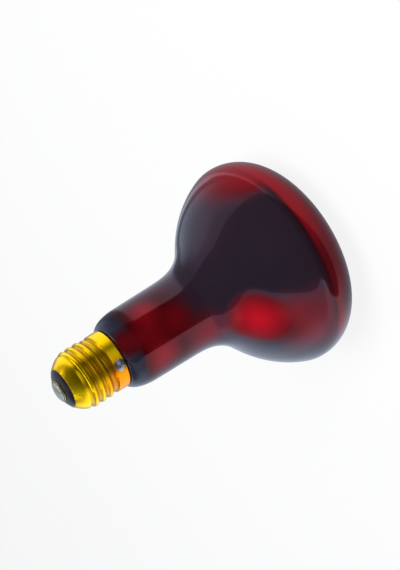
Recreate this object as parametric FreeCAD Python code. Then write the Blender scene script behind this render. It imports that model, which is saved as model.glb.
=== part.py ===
import FreeCAD, Part
import math
import os

# Infrared heat lamp bulb with a screw cap, in millimetres
# It stands on the middle of its domed face with the cap upward, the way it hangs in use
# Its axis is Z, and the lowest point of the face is the origin

os.makedirs("parts", exist_ok=True)

# Glass envelope
head_diameter = 95.0
dome_radius = 98.0
rim_radius = 17.5
rim_back_angle = 26.0
back_radius = 52.0
fillet_radius = 23.0
neck_diameter = 35.2
neck_length = 23.6
neck_taper = 1.0
shoulder_length = 12.2
tail_share = 0.5
tail_slope = 3.4
stem_diameter = 5.0
stem_share = 0.2

# Screw shell
cap_length = 27.5
thread_diameter = 26.4
thread_pitch = 3.629
thread_rounding = 1.025
collar_drop = 0.15
collar_height = 4.9
collar_step = 0.9
shell_wall = 0.35
nose_length = 4.4
nose_turn = 60.0
nose_steps = 3
nose_end_diameter = 17.8
seat_gap = 0.5
cement_width = 0.85
cement_share = 0.3

# Insulator and contacts
insulator_top_diameter = 11.0
insulator_rise = 1.7
wire_hole_diameter = 2.6
contact_diameter = 9.8
contact_thickness = 0.9
contact_edge = 0.4
eyelet_diameter = 2.2
solder_diameter = 8.2
solder_flat_diameter = 3.6
solder_height = 0.8
bead_diameter = 5.0
bead_height = 1.25
bead_angle = -107.0
wire_diameter = 0.4

AXIS = FreeCAD.Vector(0, 0, 1)
BASE = FreeCAD.Vector(0, 0, 0)


def point(r, z):
    return FreeCAD.Vector(r, 0, z)


def line(start, end):
    return Part.LineSegment(point(*start), point(*end)).toShape()


def arc(start, middle, end):
    return Part.Arc(point(*start), point(*middle), point(*end)).toShape()


def around(centre, radius, angle):
    return (centre[0] + radius * math.cos(angle), centre[1] + radius * math.sin(angle))


def path(points):
    return [line(points[i], points[i + 1]) for i in range(len(points) - 1)]


def turned(edges):
    """A solid of revolution about the lamp's axis, from a closed half section."""
    return Part.Face(Part.Wire(edges)).revolve(BASE, AXIS, 360)


def wire_along(points):
    """A round wire that follows a bent line and has mitred corners."""
    spine = Part.makePolygon([point(*p) for p in points])
    first = point(*points[0])
    along = point(*points[1]) - first
    section = Part.Wire(Part.makeCircle(wire_diameter / 2, first, along))
    return spine.makePipeShell([section], True, False, 1)


# Head of the glass: face, rim and back are arcs that run into one another
rim_reach = head_diameter / 2 - rim_radius
rim_rise = dome_radius - math.sqrt((dome_radius - rim_radius) ** 2 - rim_reach**2)
rim_centre = (rim_reach, rim_rise)
dome_centre = (0, dome_radius)
dome_angle = math.atan2(rim_rise - dome_radius, rim_reach)
dome_middle = around(dome_centre, dome_radius, (dome_angle - math.pi / 2) / 2)
dome_end = around(dome_centre, dome_radius, dome_angle)
back_start = math.radians(rim_back_angle)
rim_middle = around(rim_centre, rim_radius, (dome_angle + back_start) / 2)
rim_end = around(rim_centre, rim_radius, back_start)
back_centre = around(rim_end, -back_radius, back_start)

# Neck: a slight cone that meets the back of the head in a hollow fillet
taper = math.radians(neck_taper)
neck_radius = neck_diameter / 2
fillet_r = neck_radius + fillet_radius * math.cos(taper)
fillet_z = back_centre[1] + math.sqrt((back_radius + fillet_radius) ** 2 - (fillet_r - back_centre[0]) ** 2)
fillet_centre = (fillet_r, fillet_z)
back_stop = math.atan2(fillet_z - back_centre[1], fillet_r - back_centre[0])
back_middle = around(back_centre, back_radius, (back_start + back_stop) / 2)
back_end = around(back_centre, back_radius, back_stop)
fillet_middle = around(fillet_centre, fillet_radius, (back_stop + taper) / 2 - math.pi)
neck_bottom = around(fillet_centre, fillet_radius, taper - math.pi)
neck_top = (neck_bottom[0] - neck_length * math.tan(taper), neck_bottom[1] + neck_length)

# Heights of the cap, from the edge of the shell at the glass to the outer contact
seat_z = neck_top[1] + shoulder_length
rim_z = seat_z + seat_gap
contact_z = rim_z + cap_length
plate_z = contact_z - solder_height - contact_thickness
nose_end_z = plate_z - insulator_rise

# Radii of the cap
crest_radius = thread_diameter / 2
thread_depth = 2 * thread_rounding - math.sqrt((2 * thread_rounding) ** 2 - (thread_pitch / 2) ** 2)
root_radius = crest_radius - thread_depth
bore_radius = root_radius - shell_wall
collar_radius = crest_radius - collar_drop
collar_bore = collar_radius - shell_wall

# Nose of the shell, from its end at the insulator to the threaded run, in short cones along a curve
nose_z = nose_end_z - nose_length
nose_end_radius = nose_end_diameter / 2
nose_reach = (root_radius - nose_end_radius) / math.sin(math.radians(nose_turn))
nose_outer = []
for k in range(nose_steps + 1):
    part_way = k / nose_steps
    swell = nose_reach * math.sin(math.radians(nose_turn * part_way))
    nose_outer.append((nose_end_radius + swell, nose_end_z - nose_length * part_way))
nose_inner = [(r - shell_wall, z) for r, z in nose_outer]
insulator_z = nose_inner[-2][1]

# Glass tail and pump stem inside the cap
inner_room = insulator_z - seat_z
tail_radius = bore_radius - cement_width
tail_z = seat_z + tail_share * inner_room
tail_flat = tail_radius - tail_slope
stem_radius = stem_diameter / 2
stem_z = tail_z + stem_share * inner_room
tail_edge = tail_z - tail_slope
stem_bend = (0, stem_z - stem_radius)

shoulder_centre = point(collar_bore, neck_top[1])
shoulder_oval = Part.Ellipse(point(collar_bore, seat_z), point(*neck_top), shoulder_centre)
shoulder = Part.ArcOfEllipse(shoulder_oval, 0, math.pi / 2).toShape()

glass_bulb = turned(
    [
        arc((0, 0), dome_middle, dome_end),
        arc(dome_end, rim_middle, rim_end),
        arc(rim_end, back_middle, back_end),
        arc(back_end, fillet_middle, neck_bottom),
        line(neck_bottom, neck_top),
        shoulder,
        line((collar_bore, seat_z), (tail_radius, seat_z)),
        line((tail_radius, seat_z), (tail_radius, tail_edge)),
        line((tail_radius, tail_edge), (tail_flat, tail_z)),
        line((tail_flat, tail_z), (stem_radius, tail_z)),
        line((stem_radius, tail_z), (stem_radius, stem_bend[1])),
        arc((stem_radius, stem_bend[1]), around(stem_bend, stem_radius, math.pi / 4), (0, stem_z)),
        line((0, stem_z), (0, 0)),
    ]
)

# Screw shell: a plain collar at the glass, a run for the thread and a nose that narrows to the insulator
collar_z = rim_z + collar_height
step_z = collar_z + collar_step
shell_body = turned(
    path([(collar_bore, rim_z), (collar_radius, rim_z), (collar_radius, collar_z), (root_radius, step_z)])
    + path([(root_radius, step_z)] + nose_outer[::-1] + nose_inner)
    + path([(bore_radius, nose_z), (bore_radius, step_z), (collar_bore, collar_z), (collar_bore, rim_z)])
)

# Thread: one round right-hand ridge, in flat strips, that is sunk a little into the wall
thread_sink = shell_wall / 2
ridge_half = [
    (0.08 * thread_pitch, thread_depth),
    (0.20 * thread_pitch, 0.77 * thread_depth),
    (0.29 * thread_pitch, 0.33 * thread_depth),
    (0.41 * thread_pitch, -thread_sink),
]
ridge_points = [(root_radius + height, -away) for away, height in reversed(ridge_half)]
ridge_points += [(root_radius + height, away) for away, height in ridge_half]
ridge_start = step_z + 0.3 * thread_pitch
ridge_rise = nose_z - 0.3 * thread_pitch - ridge_start
coils = []
for radius, away in ridge_points:
    coil = Part.makeHelix(thread_pitch, ridge_rise, radius)
    coil.translate(point(0, ridge_start + away))
    coils.append(coil.Edges[0])
strips = [Part.makeRuledSurface(coils[i - 1], coils[i]) for i in range(len(coils))]
for end in (0, -1):
    corners = [coil.Vertexes[end].Point for coil in coils]
    strips.append(Part.Face(Part.makePolygon(corners + corners[:1])))
ridge_skin = Part.makeShell(strips)
ridge_skin.sewShape()
ridge = Part.makeSolid(ridge_skin)
if ridge.Volume < 0:
    ridge.reverse()

# The ridge grows out of the wall above the collar and dies away in front of the nose
fade = 0.8 * thread_pitch
low_z = step_z + 0.1 * collar_step
high_z = nose_z - 0.1 * collar_step
deep = root_radius - thread_sink / 2
clear = crest_radius + thread_sink
thread_room = turned(
    path([(bore_radius, low_z), (deep, low_z), (clear, low_z + fade), (clear, high_z - fade)])
    + path([(clear, high_z - fade), (deep, high_z), (bore_radius, high_z), (bore_radius, low_z)])
)
screw_shell = shell_body.fuse(ridge.common(thread_room))

# Insulator: black glass that fills the nose and stands out of it as a low cone
hole_radius = wire_hole_diameter / 2
top_radius = insulator_top_diameter / 2
cap_insulator = turned(
    path([(hole_radius, insulator_z)] + nose_inner[-2::-1] + [nose_outer[0], (top_radius, plate_z)])
    + path([(top_radius, plate_z), (hole_radius, plate_z), (hole_radius, insulator_z)])
)

# Centre contact: a disc with a bevelled edge and a hole
contact_radius = contact_diameter / 2
eyelet_radius = eyelet_diameter / 2
plate_top = plate_z + contact_thickness
contact_plate = turned(
    path([(eyelet_radius, plate_z), (contact_radius, plate_z), (contact_radius, plate_top - contact_edge)])
    + path([(contact_radius, plate_top - contact_edge), (contact_radius - contact_edge, plate_top)])
    + path([(contact_radius - contact_edge, plate_top), (eyelet_radius, plate_top), (eyelet_radius, plate_z)])
)

# Lead wires, from the glass tail to the two solders
wire_radius = wire_diameter / 2
wire_spread = (stem_radius + tail_flat) / 2
wire_knee = tail_z + stem_share * inner_room / 2
centre_tip = plate_top + solder_height / 2
centre_lead_wire = wire_along([(-wire_spread, tail_z), (-wire_spread, wire_knee), (0, insulator_z), (0, centre_tip)])
channel = tail_radius + cement_width / 2
outside = collar_radius + bead_height / 2
side_tip = rim_z + bead_diameter / 3
under_rim = seat_z + seat_gap / 2
side_lead_wire = wire_along(
    [
        (wire_spread, tail_z),
        (wire_spread, wire_knee),
        (channel, wire_knee),
        (channel, under_rim),
        (outside, under_rim),
        (outside, side_tip),
    ]
)

# Solder in the eyelet, flattened on top, with the wire's end inside it
solder_radius = solder_diameter / 2
flat_radius = solder_flat_diameter / 2
solder_middle = (flat_radius + 0.6 * (solder_radius - flat_radius), plate_top + 0.65 * solder_height)
centre_solder = turned(
    [
        line((0, plate_z), (eyelet_radius, plate_z)),
        line((eyelet_radius, plate_z), (eyelet_radius, plate_top)),
        line((eyelet_radius, plate_top), (solder_radius, plate_top)),
        arc((solder_radius, plate_top), solder_middle, (flat_radius, contact_z)),
        line((flat_radius, contact_z), (0, contact_z)),
        line((0, contact_z), (0, plate_z)),
    ]
).cut(centre_lead_wire)

# Solder bead on the collar, a cap of a ball that lies against the shell and covers the wire
bead_radius = bead_diameter / 2
ball_radius = (bead_radius**2 + bead_height**2) / (2 * bead_height)
ball_centre = point(collar_radius + bead_height - ball_radius, rim_z + bead_radius)
collar_core = Part.makeCylinder(collar_radius, 4 * bead_diameter, point(0, rim_z - bead_diameter))
ball = Part.makeSphere(ball_radius, ball_centre, point(1, 0))
side_solder = ball.cut(collar_core).cut(side_lead_wire)

# Cement between the glass tail and the shell, round the side wire
cement_z = rim_z + cement_share * inner_room
basing_cement = turned(
    path(
        [
            (tail_radius, rim_z),
            (collar_bore, rim_z),
            (collar_bore, collar_z),
            (bore_radius, step_z),
            (bore_radius, cement_z),
            (tail_radius, cement_z),
            (tail_radius, rim_z),
        ]
    )
).cut(side_lead_wire)

for piece in (side_solder, side_lead_wire, centre_lead_wire, basing_cement, centre_solder):
    piece.rotate(BASE, AXIS, bead_angle)

pieces = {
    "glass_bulb": glass_bulb,
    "screw_shell": screw_shell,
    "cap_insulator": cap_insulator,
    "contact_plate": contact_plate,
    "centre_solder": centre_solder,
    "side_solder": side_solder,
    "basing_cement": basing_cement,
    "centre_lead_wire": centre_lead_wire,
    "side_lead_wire": side_lead_wire,
}
for name, shape in pieces.items():
    shape.exportStep("parts/" + name + ".step")
    print(name, shape.isValid(), len(shape.Solids), round(shape.Volume, 2), shape.BoundBox)
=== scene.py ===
import math

import bpy
import numpy as np
from mathutils import Matrix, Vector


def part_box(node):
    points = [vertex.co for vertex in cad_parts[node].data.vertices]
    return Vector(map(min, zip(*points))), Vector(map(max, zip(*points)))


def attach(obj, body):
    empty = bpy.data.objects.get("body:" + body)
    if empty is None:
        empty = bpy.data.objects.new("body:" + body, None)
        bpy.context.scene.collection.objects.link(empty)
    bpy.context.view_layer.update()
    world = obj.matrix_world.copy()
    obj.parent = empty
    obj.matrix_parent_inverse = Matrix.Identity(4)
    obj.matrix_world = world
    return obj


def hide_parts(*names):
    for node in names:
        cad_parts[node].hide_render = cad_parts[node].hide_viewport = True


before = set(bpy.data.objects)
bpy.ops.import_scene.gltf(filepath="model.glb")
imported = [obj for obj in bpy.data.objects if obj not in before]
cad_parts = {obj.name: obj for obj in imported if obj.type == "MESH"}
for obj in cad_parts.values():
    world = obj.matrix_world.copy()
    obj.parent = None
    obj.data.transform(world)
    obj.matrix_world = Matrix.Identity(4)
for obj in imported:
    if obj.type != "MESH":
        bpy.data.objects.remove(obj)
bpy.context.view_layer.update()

MM = 0.001
AXIS_X, AXIS_Y, AXIS_Z = (1, 0, 0), (0, 1, 0), (0, 0, 1)

# Sizes of the bulb in millimetres, the same values as in the part's source
HEAD_R, DOME_R, RIM_R, BACK_R, FILLET_R = 47.5, 98.0, 17.5, 52.0, 23.0
RIM_BACK, TAPER = math.radians(26.0), math.radians(1.0)
NECK_R, NECK_LENGTH, SHOULDER = 17.6, 23.6, 12.2
TAIL_SLOPE, STEM_R, CEMENT_WIDTH = 3.4, 2.5, 0.85
PITCH, CREST_R, ROUNDING, WALL = 3.629, 13.2, 1.025, 0.35
DEPTH = 2 * ROUNDING - math.sqrt((2 * ROUNDING) ** 2 - (PITCH / 2) ** 2)
ROOT_R = CREST_R - DEPTH
COLLAR_INSET, COLLAR_HEIGHT, COLLAR_STEP = 0.15, 4.9, 0.9
COLLAR_R = CREST_R - COLLAR_INSET
SEAT_GAP, LIP_R = 0.5, 8.9
NOSE_LENGTH, NOSE_TURN = 4.4, math.radians(60.0)
TOP_R, RISE, HOLE_R = 5.5, 1.7, 1.3
CONTACT_R, CONTACT_THICK, EYELET_R = 4.9, 0.9, 1.1
SOLDER_R, SOLDER_HEIGHT = 4.1, 0.8
BEAD_R, BEAD_WIDE, BEAD_HEIGHT, BEAD_ANGLE = 2.5, 2.7, 1.25, math.radians(-107.0)
CONTACT_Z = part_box("centre_solder")[1].z / MM
STEM_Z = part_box("glass_bulb")[1].z / MM

# Height of the glass tail over its seat, which the source works out, to a tenth of a millimetre
TAIL_HEIGHT = 10.8
# Heights between which the joins of the glass are eased, and the least radius where they are
EASED_HEIGHTS, EASED_RADIUS = (26.0, 96.0), NECK_R - 2.0
# The thread: where its ridge starts over the step, how far it takes to rise and to fade, and how far it
# reaches past the step and past the nose
RIDGE_START, RIDGE_RISE, RIDGE_FADE = 0.3 * PITCH, 0.8 * PITCH, 0.9 * PITCH
PAST_STEP, PAST_NOSE = 0.2, 0.3
# Rounded edges of the shell, as offsets from the collar's radius and rim and from the lip's radius and height
RIM_EDGE = [(-WALL, 0.1), (-WALL + 0.08, 0.0), (-0.1, 0.0), (-0.03, 0.03)]
LIP_EDGE = [(0.02, -0.03), (-0.06, 0.0), (-WALL + 0.06, 0.0), (-WALL, -0.08)]
# The shell's outside: how far over the rim it starts, how far past the nose's start its close rows run, and
# how far under the lip it ends
OVER_RIM, PAST_NOSE_ROWS, UNDER_LIP = 0.12, 0.6, 0.1
# Outline of the insulator's cone, as radius and height over the lip, and the rounding of its corners
CONE = [
    (LIP_R - WALL, 0.0),
    (LIP_R - 0.5, 0.12),
    (7.4, 0.95),
    (TOP_R + 0.2, RISE - 0.06),
    (TOP_R - 0.4, RISE),
]
CONE_ROUNDING = 0.6
# Outline of the contact disc, as radius and height over the insulator, and the rounding of its corners
DISC = [
    (EYELET_R, 0.0),
    (CONTACT_R - 0.1, 0.0),
    (CONTACT_R, 0.3),
    (CONTACT_R - 0.12, CONTACT_THICK - 0.15),
    (CONTACT_R - 0.5, CONTACT_THICK),
    (EYELET_R, CONTACT_THICK),
]
DISC_ROUNDING = 0.25
# The two solders: how much their outline waves, how deep their lumps are, where the waves of the lumps start,
# and the power that rounds their domes; how far the tip dips at its middle, and the share of the bead's
# height that it has at its middle
TIP_WAVE, TIP_LUMPS, TIP_START, TIP_POWER, TIP_DIP = 0.02, 0.09, 0.7, 0.9, 0.03
BEAD_WAVE, BEAD_LUMPS, BEAD_START, BEAD_POWER, BEAD_CREST = 0.04, 0.14, 2.0, 0.8, 0.93
# Points round each piece
GLASS_POINTS, SHELL_POINTS, INSULATOR_POINTS, CONTACT_POINTS, BEAD_POINTS = 192, 240, 128, 96, 64

# Depth of the red along the bulb, from the face at 0 to the contact at 1
RUBY_DEPTH = [
    (0.0, 0.2), (0.13, 0.26), (0.166, 0.29), (0.18, 0.05), (0.3, 0.04), (0.36, 0.037),
    (0.48, 0.042), (0.53, 0.065), (0.57, 0.08), (0.72, 0.08), (0.75, 0.03), (1.0, 0.02),
]
RUBY_TINT = (1.0, 0.007, 0.025)
# Painted spots of red light on the glass: the glow on the head and soft red blotches on the head, neck and
# shoulder: centre, radius, added red. The last one is a painted darker spot, which takes red away.
PAINTED_RED_LIGHT_SPOTS = [
    ((-18.0, -22.3, 50.6), 16.0, 1.0),
    ((-31.0, -29.0, 36.0), 22.0, 0.2),
    ((9.2, -14.6, 89.7), 10.0, 0.3),
    ((-10.0, -14.0, 91.0), 11.0, 0.28),
    ((0.0, -17.5, 93.0), 10.0, 0.2),
    ((0.0, -17.5, 80.0), 11.0, 0.2),
    ((-11.5, -13.5, 69.0), 14.0, 0.2),
    ((2.5, -15.5, 102.5), 9.0, 0.15),
    ((-21.0, -32.5, 41.0), 12.0, 0.12),
    ((25.0, -19.0, 45.0), 24.0, 0.02),
    ((-24.0, -39.5, 29.0), 13.0, 0.07),
    ((-31.5, -36.5, 16.0), 12.0, -0.15),
]
# Painted red bands of light on the rim: side they face, reach along it, heights where they rise and fall,
# added red
PAINTED_RIM_LIGHT = [
    ((0.74, -0.67, 0.0), (20.0, 42.0), (13.0, 19.0, 22.2, 24.0), 0.27),
    ((0.98, -0.17, 0.0), (29.5, 40.0), (21.5, 24.5, 24.5, 46.0), 0.42),
]
# Painted blue-grey sheen on the head and on the shoulder: its colour, the heights where it rises and
# fades, the depths of red over which it gives way, and its strength on the shoulder
PAINTED_SHEEN_TINT = (0.0, 0.024, 0.04)
HEAD_PAINTED_SHEEN_HEIGHTS, HEAD_PAINTED_SHEEN_RED = (23.0, 27.0, 66.0, 82.0), (0.05, 0.3)
SHOULDER_PAINTED_SHEEN_HEIGHTS, SHOULDER_PAINTED_SHEEN_RED, SHOULDER_PAINTED_SHEEN = (96.0, 103.0), (0.03, 0.13), 1.3

# Colours of the cap: its metals, clean and stained, then its insulator, cement and wires
BRASS_CLEAN, BRASS_STAINED = (0.97, 0.64, 0.003), (0.95, 0.49, 0.003)
DISC_CLEAN, DISC_STAINED = (0.33, 0.28, 0.15), (0.22, 0.13, 0.03)
TIP_CLEAN, TIP_STAINED = (0.64, 0.68, 0.58), (0.36, 0.36, 0.26)
BEAD_CLEAN, BEAD_STAINED = (0.34, 0.36, 0.34), (0.15, 0.15, 0.13)
BLACK_TINT, CEMENT_TINT, WIRE_TINT = (0.012, 0.011, 0.014), (0.2, 0.16, 0.12), (0.1, 0.085, 0.075)
# Heat tint of the brass beside the bead: its centre, the distances over which it fades, and its colour
HEAT_PLACE, HEAT_REACH, HEAT_TINT = (-9.5, -9.5, 109.0), (4.0, 12.0), (0.95, 0.3, 0.004)
# Darker colour in the thread's roots: its colour and share, the radii over which it gives way, and the
# heights where it rises and fades
ROOT_DARK_TINT, ROOT_DARK_SHARE = (0.3, 0.13, 0.008), 0.62
ROOT_DARK_RADII, ROOT_DARK_HEIGHTS = (ROOT_R + 0.1, ROOT_R + 0.55 * DEPTH), (111.2, 112.5, 124.5, 126.2)


def metres(*lengths):
    return tuple(MM * length for length in lengths)


def gently(t):
    """A share from 0 to 1 that starts and ends gently."""
    t = min(max(t, 0), 1)
    return t * t * (3 - 2 * t)


def on_arc(centre, radius, start, stop, count):
    """Points (r, z) along an arc."""
    return [
        (centre[0] + radius * math.cos(a), centre[1] + radius * math.sin(a))
        for a in np.linspace(start, stop, count)
    ]


def softened(points, radius, steps=4, most=0.45):
    """An open line of points with its inner corners rounded, over no more than a share of each side."""
    out = [points[0]]
    for before, corner, after in zip(points, points[1:], points[2:]):
        c = np.array(corner)
        to_a, to_b = np.array(before) - c, np.array(after) - c
        reach = min(radius, most * np.linalg.norm(to_a), most * np.linalg.norm(to_b))
        a = c + to_a / np.linalg.norm(to_a) * reach
        b = c + to_b / np.linalg.norm(to_b) * reach
        for t in np.linspace(0, 1, steps + 1):
            out.append(tuple((1 - t) ** 2 * a + 2 * t * (1 - t) * c + t * t * b))
    out.append(points[-1])
    return out


def skin(name, rows, ring=False, sharp=50.0):
    """A closed mesh from rows of points round the axis, in millimetres; a row of one point is a pole."""
    verts, faces, starts = [], [], []
    for row in rows:
        starts.append((len(verts), len(row)))
        verts.extend(metres(*point) for point in row)
    pairs = list(zip(starts, starts[1:]))
    if ring:
        pairs.append((starts[-1], starts[0]))
    for (a, n), (b, m) in pairs:
        for i in range(max(n, m)):
            j = (i + 1) % max(n, m)
            if n == 1:
                faces.append((a, b + j, b + i))
            elif m == 1:
                faces.append((a + i, a + j, b))
            else:
                faces.append((a + i, a + j, b + j, b + i))
    mesh = bpy.data.meshes.new(name)
    mesh.from_pydata(verts, [], faces)
    mesh.validate()
    mesh.update()
    mesh.polygons.foreach_set("use_smooth", [True] * len(mesh.polygons))
    mesh.set_sharp_from_angle(angle=math.radians(sharp))
    piece = bpy.data.objects.new(name, mesh)
    bpy.context.scene.collection.objects.link(piece)
    return piece


def all_round(count):
    """Angles once round the axis."""
    return np.linspace(0, 2 * math.pi, count, endpoint=False)


def turn(profile, count):
    """Rows for skin() from a profile of (r, z); faces look outward if it runs upward on the outside."""
    on_axis = 1e-6
    rows = []
    for r, z in profile:
        if r < on_axis:
            rows.append([(0, 0, z)])
        else:
            rows.append([(r * math.cos(a), r * math.sin(a), z) for a in all_round(count)])
    return rows


def finish_piece(piece, node, material):
    piece.data.materials.append(material)
    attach(piece, "root")
    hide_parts(node)


# Nodes of the materials


def set_input(tree, socket, value):
    """Link an input of a node to another node's output, or give it a fixed value."""
    if isinstance(value, bpy.types.NodeSocket):
        tree.links.new(value, socket)
    elif socket.type == "RGBA":
        socket.default_value = (*value, 1)
    else:
        socket.default_value = value


def noise(tree, vector, scale, detail, rough=0.55):
    node = tree.nodes.new("ShaderNodeTexNoise")
    for label, value in {"Vector": vector, "Scale": scale, "Detail": detail, "Roughness": rough}.items():
        set_input(tree, node.inputs[label], value)
    return node.outputs["Fac"]


def spread(tree, value, low, high, to_low=0.0, to_high=1.0):
    """A value that goes gently from one bound to another while its source goes from low to high."""
    node = tree.nodes.new("ShaderNodeMapRange")
    node.interpolation_type = "SMOOTHSTEP"
    bounds = {"Value": value, "From Min": low, "From Max": high, "To Min": to_low, "To Max": to_high}
    for label, bound in bounds.items():
        set_input(tree, node.inputs[label], bound)
    return node.outputs["Result"]


def mixed(tree, share, first, second):
    """A colour that goes from one to another with a share."""
    node = tree.nodes.new("ShaderNodeMix")
    node.data_type = "RGBA"
    set_input(tree, node.inputs["Factor"], share)
    for label, colour in (("A", first), ("B", second)):
        socket = next(s for s in node.inputs if s.name == label and s.type == "RGBA")
        set_input(tree, socket, colour)
    return next(s for s in node.outputs if s.type == "RGBA")


def combined(tree, operation, first, second):
    node = tree.nodes.new("ShaderNodeMath")
    node.operation = operation
    set_input(tree, node.inputs[0], first)
    set_input(tree, node.inputs[1], second)
    return node.outputs["Value"]


def vectors(tree, operation, first, second=None):
    """A step with one vector, or with a vector and a second value, which is a number for SCALE."""
    node = tree.nodes.new("ShaderNodeVectorMath")
    node.operation = operation
    set_input(tree, node.inputs[0], first)
    if second is not None:
        set_input(tree, node.inputs["Scale" if operation == "SCALE" else 1], second)
    gives_number = operation in ("DISTANCE", "DOT_PRODUCT", "LENGTH")
    return node.outputs["Value" if gives_number else "Vector"]


def along(tree, vector, direction):
    """How far a vector goes along a given direction."""
    return vectors(tree, "DOT_PRODUCT", vector, direction)


def band(tree, height, rise, full, fall, gone):
    """A share that rises between two heights and falls between two others, in millimetres."""
    rising = spread(tree, height, *metres(rise, full))
    return combined(tree, "MULTIPLY", rising, spread(tree, height, *metres(fall, gone), 1.0, 0.0))


def object_place(tree):
    return tree.nodes.new("ShaderNodeTexCoord").outputs["Object"]


# Shared effects, as node groups

FLOAT, COLOUR = "NodeSocketFloat", "NodeSocketColor"
SMEAR_RANGE, STAIN_RANGE, GRAIN_SCALE = (0.35, 0.7), (0.45, 0.72), 900.0


def new_group(name, inputs, outputs):
    tree = bpy.data.node_groups.new(name, "ShaderNodeTree")
    for in_out, sockets in (("INPUT", inputs), ("OUTPUT", outputs)):
        for label, kind in sockets.items():
            tree.interface.new_socket(name=label, in_out=in_out, socket_type=kind)
    return tree, tree.nodes.new("NodeGroupInput").outputs, tree.nodes.new("NodeGroupOutput").inputs


def handled_sheen():
    """Roughness that varies in soft smears, with a fine grain for a bump."""
    tree, given, out = new_group(
        "handled_sheen",
        {"Scale": FLOAT, "Smooth": FLOAT, "Rough": FLOAT},
        {"Roughness": FLOAT, "Grain": FLOAT},
    )
    place = object_place(tree)
    smear = noise(tree, place, given["Scale"], detail=2.0)
    tree.links.new(spread(tree, smear, *SMEAR_RANGE, given["Smooth"], given["Rough"]), out["Roughness"])
    tree.links.new(noise(tree, place, GRAIN_SCALE, detail=3.0), out["Grain"])
    return tree


def tarnish():
    """A metal's clean colour, shifted in patches to a stained one."""
    tree, given, out = new_group(
        "tarnish", {"Scale": FLOAT, "Clean": COLOUR, "Stained": COLOUR}, {"Colour": COLOUR}
    )
    stain = noise(tree, object_place(tree), given["Scale"], detail=5.0, rough=0.6)
    patch = spread(tree, stain, *STAIN_RANGE)
    tree.links.new(mixed(tree, patch, given["Clean"], given["Stained"]), out["Colour"])
    return tree


HANDLED, TARNISH = handled_sheen(), tarnish()


def new_material(name, **sockets):
    material = bpy.data.materials.new(name)
    material.use_nodes = True
    tree = material.node_tree
    shader = tree.nodes["Principled BSDF"]
    for label, value in sockets.items():
        set_input(tree, shader.inputs[label.replace("_", " ")], value)
    return material, tree, shader


def add_group(tree, group, **values):
    node = tree.nodes.new("ShaderNodeGroup")
    node.node_tree = group
    for label, value in values.items():
        set_input(tree, node.inputs[label], value)
    return node.outputs


def add_sheen(tree, shader, scale, smooth, rough):
    """Handled sheen on a material; gives its fine grain, for a bump."""
    marks = add_group(tree, HANDLED, Scale=scale, Smooth=smooth, Rough=rough)
    tree.links.new(marks["Roughness"], shader.inputs["Roughness"])
    return marks["Grain"]


def add_bump(tree, shader, height, strength, distance):
    bump = tree.nodes.new("ShaderNodeBump")
    bump.inputs["Strength"].default_value = strength
    bump.inputs["Distance"].default_value = distance
    tree.links.new(height, bump.inputs["Height"])
    tree.links.new(bump.outputs["Normal"], shader.inputs["Normal"])


# Finishes


def red_with_painted_light(tree, place, height):
    """How much red the glass shows: its depth along the bulb, painted spots of red light and painted bands on
    the rim.
    """
    ramp = tree.nodes.new("ShaderNodeValToRGB")
    stops = ramp.color_ramp.elements
    for share, _ in RUBY_DEPTH[1:-1]:
        stops.new(share)
    for stop, (share, depth) in zip(stops, RUBY_DEPTH):
        stop.position = share
        stop.color = (depth, depth, depth, 1)
    tree.links.new(combined(tree, "DIVIDE", height, MM * CONTACT_Z), ramp.inputs["Fac"])
    red = ramp.outputs["Color"]
    # Painted spots of red light, and one painted darker spot
    for centre, radius, gain in PAINTED_RED_LIGHT_SPOTS:
        distance = vectors(tree, "DISTANCE", place, metres(*centre))
        red = combined(tree, "ADD", red, spread(tree, distance, *metres(0.0, radius), gain, 0.0))
    # Painted red light in bands along one side of the rim
    for side, reach, heights, gain in PAINTED_RIM_LIGHT:
        painted_rim_red = spread(tree, along(tree, place, side), *metres(*reach), 0.0, gain)
        painted_rim_red = combined(tree, "MULTIPLY", painted_rim_red, band(tree, height, *heights))
        red = combined(tree, "ADD", red, painted_rim_red)
    return red


def painted_sheen(tree, height, red):
    """How much of the painted blue-grey sheen the glass shows, where it is not red."""
    head = band(tree, height, *HEAD_PAINTED_SHEEN_HEIGHTS)
    head = combined(tree, "MULTIPLY", head, spread(tree, red, *HEAD_PAINTED_SHEEN_RED, 1.0, 0.0))
    shoulder = spread(tree, height, *metres(*SHOULDER_PAINTED_SHEEN_HEIGHTS), 0.0, SHOULDER_PAINTED_SHEEN)
    shoulder = combined(tree, "MULTIPLY", shoulder, spread(tree, red, *SHOULDER_PAINTED_SHEEN_RED, 1.0, 0.0))
    return combined(tree, "ADD", head, shoulder)


def ruby_glass():
    """Dark glass under its own gloss, reddest at the rim and neck, partly by painted red light, nearly black
    on the silvered back.
    """
    material, tree, shader = new_material(
        "ruby_glass", Metallic=0.85, Coat_Weight=1.0, Coat_Roughness=0.012, Coat_IOR=1.5
    )
    place = object_place(tree)
    height = along(tree, place, AXIS_Z)
    red = red_with_painted_light(tree, place, height)
    painted_sheen_share = painted_sheen(tree, height, red)
    # The painted blue-grey sheen is added to the red
    tint, painted_sheen_colour = vectors(tree, "SCALE", RUBY_TINT, red), vectors(tree, "SCALE", PAINTED_SHEEN_TINT, painted_sheen_share)
    tree.links.new(vectors(tree, "ADD", tint, painted_sheen_colour), shader.inputs["Base Color"])
    add_sheen(tree, shader, scale=25.0, smooth=0.14, rough=0.24)
    return material


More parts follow.
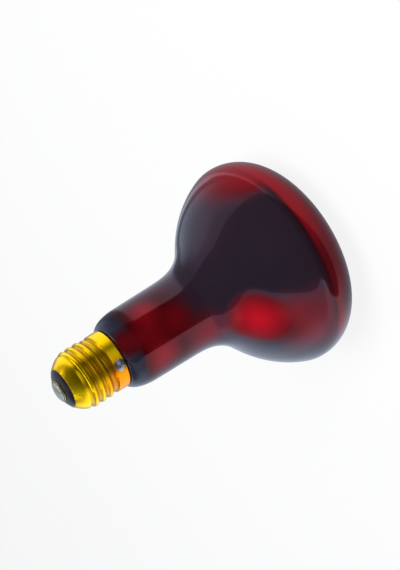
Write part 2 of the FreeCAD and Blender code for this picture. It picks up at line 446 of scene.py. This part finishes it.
def cap_brass():
    """Yellow brass with stained patches, a heat tint beside the bead, and darker colour in the thread's
    roots.
    """
    material, tree, shader = new_material("cap_brass", Metallic=1.0)
    place = object_place(tree)
    colour = add_group(tree, TARNISH, Scale=110.0, Clean=BRASS_CLEAN, Stained=BRASS_STAINED)["Colour"]
    from_heat = vectors(tree, "DISTANCE", place, metres(*HEAT_PLACE))
    colour = mixed(tree, spread(tree, from_heat, *metres(*HEAT_REACH), 1.0, 0.0), colour, HEAT_TINT)
    radius = vectors(tree, "LENGTH", vectors(tree, "MULTIPLY", place, (1, 1, 0)))
    # Darker colour in the thread's roots
    root_dark = spread(tree, radius, *metres(*ROOT_DARK_RADII), ROOT_DARK_SHARE, 0.0)
    root_dark = combined(tree, "MULTIPLY", root_dark, band(tree, along(tree, place, AXIS_Z), *ROOT_DARK_HEIGHTS))
    tree.links.new(mixed(tree, root_dark, colour, ROOT_DARK_TINT), shader.inputs["Base Color"])
    grain = add_sheen(tree, shader, scale=45.0, smooth=0.28, rough=0.36)
    add_bump(tree, shader, grain, strength=0.03, distance=0.2 * MM)
    return material


def black_glass():
    material, tree, shader = new_material("black_glass", Base_Color=BLACK_TINT, IOR=1.55)
    add_sheen(tree, shader, scale=200.0, smooth=0.16, rough=0.3)
    return material


def contact_metal():
    material, tree, shader = new_material("contact_metal", Metallic=1.0)
    stain = add_group(tree, TARNISH, Scale=180.0, Clean=DISC_CLEAN, Stained=DISC_STAINED)
    tree.links.new(stain["Colour"], shader.inputs["Base Color"])
    add_sheen(tree, shader, scale=150.0, smooth=0.38, rough=0.5)
    return material


def solder(name, clean, stained):
    material, tree, shader = new_material(name, Metallic=1.0)
    stain = add_group(tree, TARNISH, Scale=220.0, Clean=clean, Stained=stained)
    tree.links.new(stain["Colour"], shader.inputs["Base Color"])
    grain = add_sheen(tree, shader, scale=150.0, smooth=0.34, rough=0.5)
    add_bump(tree, shader, grain, strength=0.05, distance=0.3 * MM)
    return material


# Glass envelope: the same arcs as in the source, turned finely


def glass_profile():
    """Outline of the glass from the middle of its face to its seat in the cap, and the seat's height."""
    reach = HEAD_R - RIM_R
    rise = DOME_R - math.sqrt((DOME_R - RIM_R) ** 2 - reach**2)
    dome_angle = math.atan2(rise - DOME_R, reach)
    points = on_arc((0, DOME_R), DOME_R, -math.pi / 2, dome_angle, 30)
    points[0] = (0, 0)
    points += on_arc((reach, rise), RIM_R, dome_angle, RIM_BACK, 44)[1:]
    edge = points[-1]
    back = (edge[0] - BACK_R * math.cos(RIM_BACK), edge[1] - BACK_R * math.sin(RIM_BACK))
    fillet_r = NECK_R + FILLET_R * math.cos(TAPER)
    fillet_z = back[1] + math.sqrt((BACK_R + FILLET_R) ** 2 - (fillet_r - back[0]) ** 2)
    stop = math.atan2(fillet_z - back[1], fillet_r - back[0])
    points += on_arc(back, BACK_R, RIM_BACK, stop, 30)[1:]
    points += on_arc((fillet_r, fillet_z), FILLET_R, stop - math.pi, TAPER - math.pi, 26)[1:]
    low = points[-1]
    high = (low[0] - NECK_LENGTH * math.tan(TAPER), low[1] + NECK_LENGTH)
    neck = np.linspace(0, 1, 12)[1:]
    points += [(low[0] + (high[0] - low[0]) * t, low[1] + NECK_LENGTH * t) for t in neck]
    inner = COLLAR_R - WALL
    points += [
        (inner + (high[0] - inner) * math.cos(a), high[1] + SHOULDER * math.sin(a))
        for a in np.linspace(0, math.pi / 2, 26)[1:]
    ]
    return points, high[1] + SHOULDER


def eased(points, low, high, reach=3.5, step=0.8, fade=6.0):
    """The same line with its joins eased between two heights, so that what it mirrors has no kink."""
    points = np.array(points)
    run = np.concatenate([[0], np.cumsum(np.linalg.norm(np.diff(points, axis=0), axis=1))])
    even = np.linspace(0, run[-1], int(run[-1] / step))
    line = np.column_stack([np.interp(even, run, points[:, i]) for i in (0, 1)])
    offsets = np.arange(-3 * reach, 3 * reach + step, step)
    weights = np.exp(-0.5 * (offsets / reach) ** 2)
    soft = np.column_stack([
        np.interp(even[:, None] + offsets, even, line[:, i]) @ weights / weights.sum() for i in (0, 1)
    ])
    share = np.clip((line[:, 1] - low) / fade, 0, 1) * np.clip((high - line[:, 1]) / fade, 0, 1)
    share[line[:, 0] < EASED_RADIUS] = 0
    line += (soft - line) * share[:, None]
    return [tuple(p) for p in line]


glass_points, SEAT_Z = glass_profile()
glass_points = eased(glass_points, *EASED_HEIGHTS)

# Heights of the cap
RIM_Z = SEAT_Z + SEAT_GAP
COLLAR_Z = RIM_Z + COLLAR_HEIGHT
STEP_Z = COLLAR_Z + COLLAR_STEP
PLATE_TOP = CONTACT_Z - SOLDER_HEIGHT
PLATE_Z = PLATE_TOP - CONTACT_THICK
LIP_Z = PLATE_Z - RISE
NOSE_Z = LIP_Z - NOSE_LENGTH

# Tail of the glass inside the cap, with its rounded stem
TAIL_R, TAIL_Z = ROOT_R - WALL - CEMENT_WIDTH, SEAT_Z + TAIL_HEIGHT
glass_points += [(TAIL_R, SEAT_Z), (TAIL_R, TAIL_Z - TAIL_SLOPE)]
glass_points += [(TAIL_R - TAIL_SLOPE, TAIL_Z), (STEM_R, TAIL_Z)]
glass_points += on_arc((0, STEM_Z - STEM_R), STEM_R, 0, math.pi / 2, 3)
envelope = skin("glass_envelope", turn(glass_points, GLASS_POINTS))
finish_piece(envelope, "glass_bulb", ruby_glass())


# Screw shell with the round thread rolled into it


def shell_radius(z):
    """Radius of the shell without its thread."""
    if z <= NOSE_Z:
        return COLLAR_R + (ROOT_R - COLLAR_R) * gently((z - COLLAR_Z) / COLLAR_STEP)
    swell = (ROOT_R - LIP_R) / math.sin(NOSE_TURN)
    return LIP_R + swell * math.sin(NOSE_TURN * (LIP_Z - z) / NOSE_LENGTH)


def thread_rise(turns):
    """Height of the round thread over its root, from 0 to 1, at a number of turns from its crest."""
    x = abs((turns + 0.5) % 1.0 - 0.5) * PITCH
    on_crest = x < PITCH / 4
    if not on_crest:
        x = PITCH / 2 - x
    bulge = (math.sqrt(ROUNDING**2 - x * x) - math.sqrt(ROUNDING**2 - (PITCH / 4) ** 2)) / DEPTH
    return 0.5 + bulge if on_crest else 0.5 - bulge


def thread_fade(z):
    """Share of the thread's full height, which fades out at the collar and at the nose."""
    return gently((z - STEP_Z + PAST_STEP) / RIDGE_RISE) * gently((NOSE_Z + PAST_NOSE - z) / RIDGE_FADE)


def threaded_row(z):
    """Points round the shell's outside at one height."""
    plain_r, ridge = shell_radius(z), DEPTH * thread_fade(z)
    row = []
    for a in all_round(SHELL_POINTS):
        turns = (z - STEP_Z - RIDGE_START) / PITCH - a / (2 * math.pi)
        r = min(plain_r + ridge * thread_rise(turns), CREST_R)
        row.append((r * math.cos(a), r * math.sin(a), z))
    return row


def shell_rows():
    """Rows of the shell: up its outside from the rim at the glass to the lip, and back down its inside."""
    rim = [(COLLAR_R - WALL, COLLAR_Z)] + [(COLLAR_R + r, RIM_Z + z) for r, z in RIM_EDGE]
    collar = np.linspace(RIM_Z + OVER_RIM, COLLAR_Z, 12)
    threaded = np.linspace(COLLAR_Z, NOSE_Z + PAST_NOSE_ROWS, 280)[1:]
    nose = np.linspace(NOSE_Z + PAST_NOSE_ROWS, LIP_Z - UNDER_LIP, 16)[1:]
    lip = [(LIP_R + r, LIP_Z + z) for r, z in LIP_EDGE]
    inside = [(shell_radius(z) - WALL, z) for z in np.linspace(LIP_Z - UNDER_LIP, NOSE_Z, 8)[1:]]
    rows = turn(rim, SHELL_POINTS)
    rows += [threaded_row(z) for z in (*collar, *threaded, *nose)]
    return rows + turn(lip + inside + [(ROOT_R - WALL, STEP_Z)], SHELL_POINTS)


shell = skin("brass_screw_shell", shell_rows(), ring=True, sharp=60.0)
finish_piece(shell, "screw_shell", cap_brass())

# Insulator: a low glossy cone with a rounded shoulder, seated in the shell's nose
seat = [(shell_radius(z) - WALL, z) for z in (LIP_Z - NOSE_LENGTH * 2 / 3, LIP_Z - NOSE_LENGTH / 3)]
cone = softened([(r, LIP_Z + z) for r, z in CONE], CONE_ROUNDING)
outline = [(HOLE_R, seat[0][1])] + seat + cone + [(HOLE_R, PLATE_Z)]
insulator = skin("black_insulator", turn(outline, INSULATOR_POINTS), ring=True, sharp=40.0)
finish_piece(insulator, "cap_insulator", black_glass())

# Contact disc with a rolled edge
disc = softened([(r, PLATE_Z + z) for r, z in DISC], DISC_ROUNDING)
plate = skin("contact_disc", turn(disc, CONTACT_POINTS), ring=True, sharp=50.0)
finish_piece(plate, "contact_plate", contact_metal())


# Solders


def lumps(u, v, start):
    """Smooth unevenness between 0 and 1, from three crossing waves."""
    waves = (
        math.sin(2.1 * u + start) * math.cos(1.7 * v - start)
        + 0.6 * math.sin(3.7 * v + 2.3 * start + u)
        + 0.4 * math.cos(5.1 * u - 2.9 * v + start)
    )
    return (1 + waves / 2) / 2


def tip_rows():
    """A low uneven dome on the contact disc, which fills its eyelet."""
    foot = [(0, PLATE_Z), (EYELET_R, PLATE_Z), (EYELET_R, PLATE_TOP), (SOLDER_R, PLATE_TOP)]
    rows = turn(foot, CONTACT_POINTS)
    for t in np.linspace(0, 1, 16)[1:-1]:
        row = []
        for a in all_round(CONTACT_POINTS):
            r = SOLDER_R * math.cos(t * math.pi / 2) * (1 + TIP_WAVE * math.sin(3 * a + 1) * (1 - t))
            x, y = r * math.cos(a), r * math.sin(a)
            lift = SOLDER_HEIGHT * math.sin(t * math.pi / 2) ** TIP_POWER
            lift *= 1 - TIP_LUMPS * lumps(x, y, TIP_START)
            row.append((x, y, PLATE_TOP + min(lift, SOLDER_HEIGHT)))
        rows.append(row)
    return rows + [[(0, 0, CONTACT_Z - TIP_DIP)]]


def on_collar(across, up, out):
    """A point beside the middle of the bead, on the collar or out from it."""
    angle = BEAD_ANGLE + across / COLLAR_R
    r = COLLAR_R + out
    return (r * math.cos(angle), r * math.sin(angle), RIM_Z + BEAD_R + up)


def bead_rows():
    """An uneven bead on the collar, with a thin foot."""
    rows = [[on_collar(0, 0, 0)]]
    for t in np.linspace(1, 0, 18)[:-1]:
        row = []
        for a in all_round(BEAD_POINTS):
            wave = (1 + math.sin(2 * a + 0.8) * math.cos(3 * a)) / 2
            rho = math.sin(t * math.pi / 2) * (1 - BEAD_WAVE * wave)
            across, up = BEAD_WIDE * rho * math.cos(a), BEAD_R * rho * math.sin(a)
            out = BEAD_HEIGHT * math.cos(t * math.pi / 2) ** BEAD_POWER
            out *= 1 - BEAD_LUMPS * lumps(across, up, BEAD_START)
            row.append(on_collar(across, up, out))
        rows.append(row)
    return rows + [[on_collar(0, 0, BEAD_CREST * BEAD_HEIGHT)]]


tip = skin("contact_solder", tip_rows(), sharp=60.0)
finish_piece(tip, "centre_solder", solder("solder_grey", TIP_CLEAN, TIP_STAINED))
bead = skin("rim_solder_bead", bead_rows(), sharp=60.0)
finish_piece(bead, "side_solder", solder("dull_solder", BEAD_CLEAN, BEAD_STAINED))

# Cement and wires keep the solids of the source, with finishes of their own
cement = new_material("cement", Base_Color=CEMENT_TINT, Roughness=0.9)[0]
wire = new_material("lead_wire", Base_Color=WIRE_TINT, Roughness=0.5, Metallic=1.0)[0]
for node, material in (("basing_cement", cement), ("centre_lead_wire", wire), ("side_lead_wire", wire)):
    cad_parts[node].data.materials.clear()
    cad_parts[node].data.materials.append(material)


# Stage, in metres: a pale floor, and white cloth with a dim opening on one side, which glass and brass mirror

# The dim opening: its left side, its other sides, how round its corners and how soft its edges are, and where
# it fades at the back
OPENING_LEFT, OPENING_SIDES = (0.616, -0.788, 0.0), [(-0.402, -0.795, 0.4525), (-0.202, -0.556, 0.806)]
OPENING_ROUNDING, OPENING_SOFT, OPENING_BACK = 0.1, 0.012, (0.1, 0.27)
# How far its left side is drawn in at the horizon, up to which height, and from which distances on the floor
DRAWN_IN, DRAWN_HEIGHT, DRAWN_FLOOR = 0.18, 0.35, (0.13, 0.23)
# Its colour, its colour far out on the floor, and the white that the camera sees
OPENING, OPENING_FAR, WHITE = (0.05, 0.06, 0.08), (0.03, 0.03, 0.04), (1.0, 1.0, 1.0)
# The cloth: its two sides, and how far across it goes from one to the other
CLOTH_LEFT, CLOTH_RIGHT, CLOTH_TURN = (0.52, 0.6, 0.74), (0.36, 0.41, 0.52), (-0.7, 0.7)
# Places where the cloth is dim: direction, cosines where that starts and is full, and colour
DIM_SIDE = (0.14, 0.155, 0.19)
DIM_PLACES = [
    ((-0.6, 0.16, 0.784), 0.7, 1.0, (0.08, 0.08, 0.11)),
    ((0.68, 0.0, 0.733), 0.9, 0.985, (0.22, 0.24, 0.3)),
    ((-0.82, -0.5, 0.28), 0.75, 0.98, (0.28, 0.32, 0.4)),
    ((0.932, -0.2, -0.3), 0.45, 0.95, DIM_SIDE),
]
# The floor as the bulb mirrors it: its colours near and far, the distances from the bulb where one turns to
# the other, the places to one side where it has the far one from close by, and where it turns to the dim side
# The near colour is a painted shadow of the bulb on the floor, as the bulb mirrors it
FLOOR_NEAR_SHADOW, FLOOR_FAR = (0.21, 0.225, 0.27), (0.47, 0.53, 0.64)
FLOOR_TURN, FLOOR_CLOSE_BY = (0.14, 0.22), (-0.06, -0.025)
FLOOR_DIM_FROM, FLOOR_DIM_ACROSS = (0.26, 0.36), (0.0, 0.1)
# The floor itself: its half width, its tint, and the share of plain white that the camera sees in it
FLOOR_REACH, FLOOR_TINT, FLOOR_WHITE = 6, (0.9, 0.9, 0.9), 0.88
BULB_MIDDLE = (0, 0, 0.045)


def opening_share(tree, direction, drawn_in):
    """How far a direction from the bulb lies in the dim opening, from 0 to 1."""
    inside = combined(tree, "SUBTRACT", along(tree, direction, OPENING_LEFT), drawn_in)
    for normal in OPENING_SIDES:
        inside = combined(tree, "SMOOTH_MIN", inside, along(tree, direction, normal))
        inside.node.inputs[2].default_value = OPENING_ROUNDING
    in_front = spread(tree, along(tree, direction, AXIS_Y), *OPENING_BACK, 1.0, 0.0)
    return combined(tree, "MULTIPLY", spread(tree, inside, -OPENING_SOFT, OPENING_SOFT), in_front)


def studio_world():
    """Cloth all round with its dim places and the opening; the camera sees plain white."""
    world = bpy.data.worlds.new("studio")
    bpy.context.scene.world = world
    world.use_nodes = True
    tree = world.node_tree
    direction = tree.nodes.new("ShaderNodeTexCoord").outputs["Generated"]
    cloth = mixed(tree, spread(tree, along(tree, direction, AXIS_X), *CLOTH_TURN), CLOTH_LEFT, CLOTH_RIGHT)
    for toward, start, full, dim in DIM_PLACES:
        cloth = mixed(tree, spread(tree, along(tree, direction, toward), start, full), cloth, dim)
    drawn_in = spread(tree, along(tree, direction, AXIS_Z), 0.0, DRAWN_HEIGHT, DRAWN_IN, 0.0)
    around = mixed(tree, opening_share(tree, direction, drawn_in), cloth, OPENING)
    rays = tree.nodes.new("ShaderNodeLightPath").outputs
    background = tree.nodes["Background"]
    tree.links.new(mixed(tree, rays["Is Camera Ray"], around, WHITE), background.inputs["Color"])
    background.inputs["Strength"].default_value = 1.0


def mirrored_floor(tree):
    """Colour of the floor as the bulb mirrors it, with a painted shadow near the bulb and the opening running
    on over it.
    """
    position = tree.nodes.new("ShaderNodeNewGeometry").outputs["Position"]
    away = vectors(tree, "SUBTRACT", position, BULB_MIDDLE)
    distance, across = vectors(tree, "LENGTH", away), along(tree, position, AXIS_X)
    # Painted shadow near the bulb, giving way to the far colour
    far = spread(tree, distance, *FLOOR_TURN)
    bright = combined(tree, "MAXIMUM", far, spread(tree, across, *FLOOR_CLOSE_BY, 1.0, 0.0))
    dim = spread(tree, distance, *FLOOR_DIM_FROM)
    dim = combined(tree, "MULTIPLY", dim, spread(tree, across, *FLOOR_DIM_ACROSS))
    cloth = mixed(tree, dim, mixed(tree, bright, FLOOR_NEAR_SHADOW, FLOOR_FAR), DIM_SIDE)
    drawn_in = spread(tree, distance, *DRAWN_FLOOR, 0.0, DRAWN_IN)
    opening = opening_share(tree, vectors(tree, "NORMALIZE", away), drawn_in)
    return mixed(tree, opening, cloth, mixed(tree, far, OPENING, OPENING_FAR))


def emission(tree, colour):
    node = tree.nodes.new("ShaderNodeEmission")
    set_input(tree, node.inputs["Color"], colour)
    return node.outputs["Emission"]


def mixed_shader(tree, share, first, second):
    node = tree.nodes.new("ShaderNodeMixShader")
    for socket, value in zip(node.inputs, (share, first, second)):
        tree.links.new(value, socket)
    return node.outputs["Shader"]


def pale_floor():
    """A floor that the camera sees nearly white, with the bulb's shadow on it."""
    mesh = bpy.data.meshes.new("floor")
    corners = [(x * FLOOR_REACH, y * FLOOR_REACH, 0) for x, y in ((-1, -1), (1, -1), (1, 1), (-1, 1))]
    mesh.from_pydata(corners, [], [(0, 1, 2, 3)])
    floor = bpy.data.objects.new("floor", mesh)
    bpy.context.scene.collection.objects.link(floor)
    material, tree, shader = new_material(
        "pale_floor", Base_Color=FLOOR_TINT, Roughness=0.9, Specular_IOR_Level=0.0
    )
    rays = tree.nodes.new("ShaderNodeLightPath").outputs
    whitened = combined(tree, "MULTIPLY", rays["Is Camera Ray"], FLOOR_WHITE)
    seen = mixed_shader(tree, whitened, shader.outputs["BSDF"], emission(tree, WHITE))
    both = mixed_shader(tree, rays["Is Glossy Ray"], seen, emission(tree, mirrored_floor(tree)))
    tree.links.new(both, tree.nodes["Material Output"].inputs["Surface"])
    material.cycles.emission_sampling = "NONE"
    mesh.materials.append(material)


def add_object(name, data, place, side, up, back):
    """A lamp or camera at a place, with its own axes along three given directions."""
    added = bpy.data.objects.new(name, data)
    bpy.context.scene.collection.objects.link(added)
    added.matrix_world = Matrix([*np.column_stack([side, up, back, place]).tolist(), (0, 0, 0, 1)])
    return added


def lamp(name, place, aim, size, watts, tall=None, pieces=(), mirrored=True):
    """A round lamp, or a panel where its height is given. If pieces are given, it lights them alone."""
    data = bpy.data.lights.new(name, "AREA")
    data.shape = "RECTANGLE" if tall else "DISK"
    data.size = size
    if tall:
        data.size_y = tall
    data.energy = watts
    back = np.array(place) - np.array(aim)
    back /= np.linalg.norm(back)
    nearly_up = (0, 0.01, 1)
    side = np.cross(nearly_up, back)
    side /= np.linalg.norm(side)
    light = add_object(name, data, place, side, np.cross(back, side), back)
    light.visible_glossy = mirrored
    if pieces:
        group = bpy.data.collections.new(name + "_pieces")
        for piece in pieces:
            group.objects.link(piece)
        light.light_linking.receiver_collection = group


studio_world()
pale_floor()
glass, metal = [envelope], [shell, plate, tip, bead]
lamp("soft_key", (0.3, -0.6, 1.0), (0, 0, 0.06), size=0.8, watts=16.0, mirrored=False)
glow_place, glow_aim = (-0.136, -0.186, 0.337), (-0.017, -0.0233, 0.0507)
lamp("glow_lamp", glow_place, glow_aim, size=0.04, watts=2.2, pieces=glass, mirrored=False)
rim_place, rim_aim = (0.4, -0.1, 0.03), (0.03, -0.03, 0.025)
lamp("rim_lamp", rim_place, rim_aim, size=0.06, watts=2.2, pieces=glass, mirrored=False)
behind_cap = (0, 0.06, 0.12)
lamp("cap_left", (0.2, 0.06, 0.12), behind_cap, size=0.4, watts=0.32, tall=0.24, pieces=metal)
lamp("cap_right", (-0.2, 0.06, 0.12), behind_cap, size=0.4, watts=0.3, tall=0.24, pieces=metal)
lamp("cap_front", (0.02, -0.3, 0.03), (0, 0, 0.118), size=0.3, watts=0.2, pieces=metal)
lamp("cap_top", (0, 0.07, 0.6), (0, 0.07, 0.118), size=1.0, watts=1.3, tall=0.06, pieces=metal)

# Camera in front of the bulb, looking down and rolled over, at the photograph's viewing angle; its place, its
# lens and its sensor are in millimetres
CAMERA_PLACE, LENS, SENSOR = (6.766, -480.722, 269.26), 77.512, 36.0
TILT, ROLL = math.radians(24.01417), math.radians(-121.53445)
camera_data = bpy.data.cameras.new("camera")
camera_data.lens, camera_data.sensor_width = LENS, SENSOR
camera_data.clip_start, camera_data.clip_end = 0.01, 50.0
level = np.array(AXIS_X)
upright = np.array((0.0, math.sin(TILT), math.cos(TILT)))
right = math.cos(ROLL) * level + math.sin(ROLL) * upright
top = math.cos(ROLL) * upright - math.sin(ROLL) * level
backward = (0.0, -math.cos(TILT), math.sin(TILT))
camera = add_object("camera", camera_data, metres(*CAMERA_PLACE), right, top, backward)
bpy.context.scene.camera = camera
bpy.context.scene.view_settings.view_transform = "Standard"
